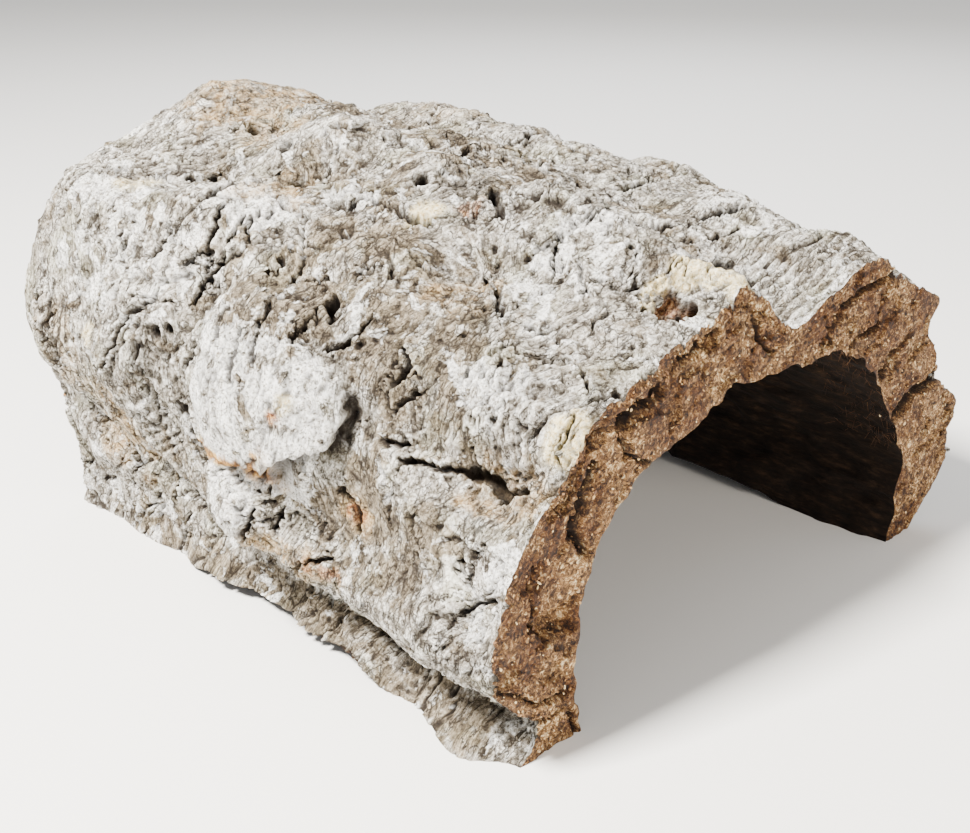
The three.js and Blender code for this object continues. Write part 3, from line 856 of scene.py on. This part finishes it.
# Broken grains that stand out of the sawn faces and catch the light
def makeCrumbs(source, finish):
    draw = random.Random(crumbs["seed"])
    mesh = source.data
    clear = [f for f in mesh.polygons if f.center.z > 2 * mm]
    faces = iter(draw.choices(clear, weights=[f.area for f in clear], k=crumbs["count"]))

    def addCrumb(batch, layers):
        face = next(faces)
        low, high = crumbs["sizes"]
        size = (low + (high - low) * draw.random() ** 2) * mm / 2
        turn = Matrix.Rotation(draw.uniform(0, math.pi), 4, Vector([draw.gauss(0, 1) for _ in range(3)]))
        scale = Matrix.Diagonal((size, size * draw.uniform(0.4, 0.8), size * draw.uniform(1.0, 2.0), 1))
        made = bmesh.ops.create_icosphere(batch, subdivisions=1, radius=1.0,
                                          matrix=Matrix.Translation(face.center) @ turn @ scale)
        shade = draw.random()
        for vert in made["verts"]:
            vert.co += Vector([draw.uniform(-0.3, 0.3) * size for _ in range(3)])
            vert[layers["tone"]] = shade

    return scattered("sawnCrumbs", crumbs["count"], {"tone": "float"}, addCrumb, finish)


# Dry fibres that stand off the inside near the front cut's right side
def makeFibres(source, finish):
    draw = random.Random(fibres["seed"])
    mesh = source.data
    right, front, up = fibres["from"]
    near = [f for f in mesh.polygons
            if f.center.x > right * mm and f.center.y < front * mm and f.center.z > up * mm]

    def addFibre(batch, layers):
        face = draw.choice(near)
        low, high = fibres["lengths"]
        length = draw.uniform(low, high) * mm
        way = Vector((draw.gauss(0, 0.5), draw.gauss(-0.5, 0.8), draw.gauss(0, 0.5))) + face.normal * 0.35
        start = face.center - way.normalized() * 0.5 * mm  # rooted in the face
        middle = Matrix.Translation(start + way.normalized() * length / 2)
        thick = fibres["thick"] * mm
        made = bmesh.ops.create_cone(batch, cap_ends=True, segments=3, radius1=thick, radius2=thick * 0.4,
                                     depth=length, matrix=middle @ turnTowards(way))
        shade = draw.uniform(0.0, 0.45)
        for vert in made["verts"]:
            vert[layers["tone"]] = shade

    return scattered("insideFibres", fibres["count"], {"tone": "float"}, addFibre, finish)


def perSize(sizeInMm):
    return 1 / (sizeInMm * mm)


def newMaterial(name):
    material = bpy.data.materials.new(name)
    material.use_nodes = True
    tree = material.node_tree
    tree.nodes.clear()
    output = addNode(tree, "ShaderNodeOutputMaterial")
    shader = addNode(tree, "ShaderNodeBsdfPrincipled")
    tree.links.new(shader.outputs["BSDF"], output.inputs["Surface"])
    return material, tree, shader, (addNode(tree, "ShaderNodeTexCoord"), "Object")


def mixColours(tree, share, first, second, blend="MIX"):
    node = addNode(tree, "ShaderNodeMix", data_type="RGBA", blend_type=blend)
    for index, value in ((0, share), (6, first), (7, second)):
        if isinstance(value, str):
            node.inputs[index].default_value = linearColour(value)
        elif isinstance(value, (int, float)):
            node.inputs[index].default_value = value
        else:
            tree.links.new(value, node.inputs[index])
    return node.outputs[2]


def calculate(tree, operation, first, second=0.0, third=0.0):
    node = addNode(tree, "ShaderNodeMath", operation=operation)
    for index, value in enumerate((first, second, third)):
        if isinstance(value, (int, float)):
            node.inputs[index].default_value = value
        else:
            tree.links.new(value, node.inputs[index])
    return node.outputs[0]


# The weighted sum of several patterns
def summed(tree, patterns):
    total = 0.0
    for pattern, weight in patterns:
        total = calculate(tree, "MULTIPLY_ADD", pattern, weight, total)
    return total


def times(tree, first, second):
    return calculate(tree, "MULTIPLY", first, second)


def greatest(tree, first, *others):
    for other in others:
        first = calculate(tree, "MAXIMUM", first, other)
    return first


def ramp(tree, value, stops):
    node = addNode(tree, "ShaderNodeValToRGB")
    tree.links.new(value, node.inputs["Fac"])
    elements = node.color_ramp.elements
    while len(elements) < len(stops):
        elements.new(0.5)
    for element, (position, colour) in zip(elements, stops):
        element.position = position
        element.color = linearColour(colour)
    return node.outputs["Color"]


# From one value to another, by default from black to white
def fade(tree, value, low, high, first="#000000", last="#ffffff"):
    return ramp(tree, value, [(low, first), (high, last)])


def noiseAt(tree, coords, size, detail, roughness=0.55, distortion=0.0):
    node = addNode(tree, "ShaderNodeTexNoise", {"Vector": coords}, scale=perSize(size), detail=detail,
                   roughness=roughness, distortion=distortion)
    return node.outputs["Fac"]


def field(tree, name):
    return addNode(tree, "ShaderNodeAttribute", attribute_name=name).outputs["Fac"]


# A pattern's places, drawn out along their second direction
def drawnOut(tree, places, share):
    return addNode(tree, "ShaderNodeMapping", {"Vector": places}, scale=(1.0, share, 1.0)), "Vector"


# Joins up a finish: its colour, its dryness and its small relief, with the depth in mm
def joinFinish(tree, shader, colour, roughness, specular, relief, depth, strength=1.0):
    tree.links.new(colour, shader.inputs["Base Color"])
    shader.inputs["Roughness"].default_value = roughness
    shader.inputs["Specular IOR Level"].default_value = specular
    bump = addNode(tree, "ShaderNodeBump", strength=strength, distance=depth * mm)
    tree.links.new(relief, bump.inputs["Height"])
    tree.links.new(bump.outputs["Normal"], shader.inputs["Normal"])


# Weathered virgin cork bark: dry, grey and chalky, with no gloss; painted shade darkens its cracks, holes
# and hollows, and its tops are painted a little lighter
def weatheredBark():
    material, tree, shader, at = newMaterial("weatheredCorkBark")
    grain = (addNode(tree, "ShaderNodeAttribute", attribute_name="grain"), "Vector")
    drawn = drawnOut(tree, grain, 0.18)
    streak = noiseAt(tree, drawn, 0.62, 6, 0.66)
    band = noiseAt(tree, drawn, 2.6, 4, 0.6)
    middle = noiseAt(tree, at, 4.5, 8, 0.7, 0.5)
    fine = noiseAt(tree, at, 0.8, 6, 0.75)
    cavity = field(tree, "cavity")
    grained = summed(tree, [(streak, 0.32), (band, 0.22), (middle, 0.22), (fine, 0.24)])
    plain = summed(tree, [(streak, 0.08), (band, 0.12), (middle, 0.36), (fine, 0.44)])
    calmShare = fade(tree, noiseAt(tree, at, 15, 5, 0.6), 0.44, 0.54)
    # Painted light and shade: tops a little lighter, hollows a little darker
    tone = calculate(tree, "MULTIPLY_ADD", cavity, 0.05, mixColours(tree, calmShare, grained, plain))
    grey = ramp(tree, tone, [(0.40, "#28241e"), (0.45, "#5c564c"), (0.485, "#868076"), (0.515, "#a5a097"),
                             (0.55, "#ccc9c1"), (0.60, "#f8f7f2")])
    bareEdge = summed(tree, [(field(tree, "bare"), 0.14), (noiseAt(tree, at, 11.0, 10, 0.7, 0.8), 1.0)])
    browned = mixColours(tree, fade(tree, bareEdge, 0.52, 0.62), grey,
                         mixColours(tree, 1.0, grey, "#b8ad9d", "MULTIPLY"))
    mossy = mixColours(tree, fade(tree, noiseAt(tree, at, 13, 3), 0.50, 0.66, last="#b0b0b0"), browned,
                       mixColours(tree, 1.0, browned, "#dde0c6", "MULTIPLY"))
    frayed = summed(tree, [(field(tree, "pale"), 0.17), (noiseAt(tree, at, 8.0, 8, 0.66, 0.6), 1.0)])
    lichen = fade(tree, frayed, 0.575, 0.625, last="#f0f0f0")
    chalk = ramp(tree, fine, [(0.37, "#5b574f"), (0.43, "#c6c3ba"), (0.49, "#efeee9"), (0.58, "#ffffff")])
    colour = mixColours(tree, lichen, mossy, chalk)
    for name, stops, tints in barkTints:
        share = times(tree, field(tree, name), ramp(tree, middle, stops))
        colour = mixColours(tree, share, colour, ramp(tree, fine, tints))
    colour = mixColours(tree, field(tree, "knobEdge"), colour,
                        ramp(tree, middle, [(0.38, "#4c3018"), (0.48, "#8f6233"), (0.58, "#dcae66")]))
    # Painted shade in the hollows
    hollow = fade(tree, times(tree, cavity, -1.0), 0.12, 0.9)
    smooth = greatest(tree, lichen, field(tree, "cream"))
    lines = times(tree, crackLines(tree, drawnOut(tree, grain, 0.4), at),
                  calculate(tree, "MULTIPLY_ADD", smooth, -0.6, 1.0))
    specks = fade(tree, noiseAt(tree, at, 0.7, 3, 0.6), 0.345, 0.385, "#ffffff", "#000000")
    dots = addNode(tree, "ShaderNodeTexVoronoi", {"Vector": at}, scale=perSize(1.5))
    spotted = fade(tree, summed(tree, [(dots.outputs["Distance"], 0.5), (middle, 1.0)]), 0.60, 0.645,
                   "#ffffff", "#000000")
    # The dark mix: painted shade in hollows, fine cracks, cracks, holes and under the knob, along with the
    # real specks and lichen dots
    dark = greatest(tree, times(tree, hollow, 0.85), lines, times(tree, spotted, times(tree, lichen, 0.75)),
                    times(tree, specks, 0.8), field(tree, "crackShadeMask"))
    colour = mixColours(tree, times(tree, dark, 0.92), colour, "#1e1711")
    relief = summed(tree, [(middle, 0.5), (streak, 0.42), (lichen, 0.12), (fine, 0.36), (specks, -0.3)])
    joinFinish(tree, shader, colour, 0.9, 0.25, relief, 1.0)
    return material


# Colour patches: the share that the patch's own mottling lets through, and its tints
barkTints = [
    ("warm", [(0.38, "#303030"), (0.58, "#f0f0f0")],
     [(0.34, "#54391d"), (0.47, "#9c7d52"), (0.62, "#d2bd92")]),
    ("cream", [(0.34, "#505050"), (0.48, "#ffffff")],
     [(0.33, "#a97b3c"), (0.44, "#e6d39c"), (0.60, "#f7efd2")]),
    ("rust", [(0.38, "#404040"), (0.54, "#ffffff")],
     [(0.36, "#2e160b"), (0.46, "#774324"), (0.54, "#a8713f"), (0.64, "#dcae72")]),
]


# Fine cracks that the mesh doesn't carry, drawn out along the grain, painted dark as the shade inside them
def crackLines(tree, drawn, at):
    swirl = addNode(tree, "ShaderNodeTexNoise", {"Vector": at}, scale=perSize(2.0), detail=4.0)
    bend = addNode(tree, "ShaderNodeMix", data_type="VECTOR")
    bend.inputs[0].default_value = 0.0013  # a share, so each line bends by up to about a millimetre
    tree.links.new(drawn[0].outputs[drawn[1]], bend.inputs[4])
    tree.links.new(swirl.outputs["Color"], bend.inputs[5])
    lines = []
    for size, width in ((7.0, 0.028), (3.2, 0.045), (1.5, 0.055)):
        cells = addNode(tree, "ShaderNodeTexVoronoi", feature="DISTANCE_TO_EDGE", scale=perSize(size))
        tree.links.new(bend.outputs[1], cells.inputs["Vector"])
        line = fade(tree, cells.outputs["Distance"], width * 0.3, width * 1.5, "#ffffff", "#000000")
        lines.append(times(tree, line, fade(tree, noiseAt(tree, at, size * 2.2, 3), 0.46, 0.55)))
    return greatest(tree, *lines)


# Sawn cork: brown and granular, each grain under a millimetre, golden where a grain catches the light
def sawnCork():
    material, tree, shader, at = newMaterial("sawnCork")
    broad = noiseAt(tree, at, 12, 4, 0.6)
    middle = noiseAt(tree, at, 2.6, 5, 0.65)
    fine = noiseAt(tree, at, 0.95, 5, 0.7, 0.8)
    tone = summed(tree, [(middle, 0.34), (fine, 0.66)])
    brown = ramp(tree, tone, [(0.40, "#20120a"), (0.45, "#54381e"), (0.495, "#86623c"), (0.535, "#a87e4e"),
                              (0.562, "#d8ab6c"), (0.595, "#fdeac0")])
    shaded = mixColours(tree, fade(tree, broad, 0.40, 0.58, "#ffffff", "#000000"), brown,
                        mixColours(tree, 1.0, brown, "#a89078", "MULTIPLY"))
    layerLine = calculate(tree, "SINE", summed(tree, [(broad, 16.0), (field(tree, "wall"), 44.0)]))
    lined = mixColours(tree, fade(tree, layerLine, 0.80, 1.0, last="#c0c0c0"), shaded, "#3a2414")
    # Painted shade in the cut's cracks and sunk torn grain
    dark = mixColours(tree, times(tree, field(tree, "cutShadeMask"), 0.92), lined, "#1c100a")
    joinFinish(tree, shader, dark, 0.72, 0.35, summed(tree, [(middle, 0.6), (fine, 1.0)]), 1.6)
    return material


# Loose grains of cork: from burnt brown to pale gold, a little waxy
def looseGrains():
    material, tree, shader, _ = newMaterial("looseCorkGrains")
    tint = ramp(tree, field(tree, "tone"), [(0.0, "#3b2312"), (0.35, "#704a2a"), (0.7, "#a87c4e"),
                                            (0.9, "#d6ae74"), (1.0, "#f6dfae")])
    tree.links.new(tint, shader.inputs["Base Color"])
    shader.inputs["Roughness"].default_value = 0.55
    return material


# The inside, where the bark left the tree: its own dark brown, dry and stringy, painted nearly black as the
# shade that fills it
def darkInside():
    material, tree, shader, at = newMaterial("darkInnerBark")
    streak = noiseAt(tree, drawnOut(tree, at, 0.25), 2.2, 7, 0.7)
    # Nearly black: painted shade over the inside's dark brown
    colour = ramp(tree, streak, [(0.35, "#0d0907"), (0.52, "#1d140e"), (0.66, "#33251a"), (0.8, "#5a4632")])
    joinFinish(tree, shader, colour, 0.9, 0.2, streak, 0.9, strength=0.8)
    return material


makeCamera()
makeStudio()
print("camera, floor and light made")
finishes = weatheredBark(), sawnCork(), darkInside()
print("finishes made")
parts = makeBark(*finishes)
left, crown, right, sawn, inside = parts
for source, name in ((left, "leftFlakes"), (crown, "crownFlakes"), (right, "rightFlakes")):
    parts.append(makeFlakes(source, name, finishes[0]))
grainFinish = looseGrains()
parts += [makeCrumbs(sawn, grainFinish), makeFibres(inside, grainFinish)]
print("flakes, crumbs and fibres made")
for part in parts:
    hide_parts("cork_bark")
    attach(part, "root")
bpy.context.view_layer.update()
